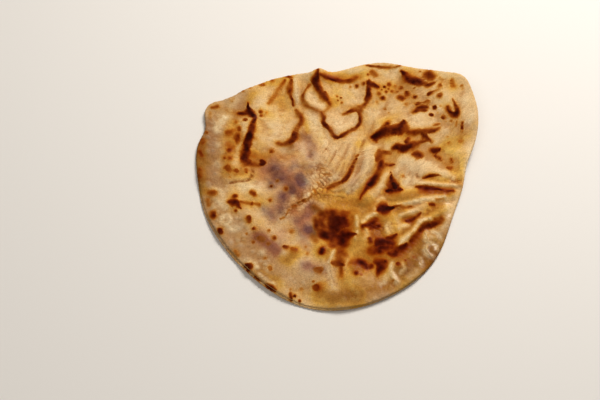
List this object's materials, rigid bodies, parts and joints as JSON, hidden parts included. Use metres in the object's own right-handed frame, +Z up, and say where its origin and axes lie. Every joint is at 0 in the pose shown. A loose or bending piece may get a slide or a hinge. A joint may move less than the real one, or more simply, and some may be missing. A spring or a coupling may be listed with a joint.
{
  "type": "paratha",
  "caption": "Large round hand-rolled flatbread, lying flat with its browned, folded and blistered face up, one edge corner curled off the surface.",
  "frame": {"origin": "on the surface that the bread lies on, under the middle of its outline", "axes": "+Z up out of the browned face, +Y towards the pinched far edge, +X towards the edge where the folds gather"},
  "size_m": [0.2461, 0.2363, 0.0222],
  "materials": {
    "griddled_dough": "wheat dough browned on a griddle, pale tan with brown scorch marks and a thin shine of ghee"
  },
  "bodies": {
    "root": {"paratha": "griddled_dough"}
  },
  "joints": []
}
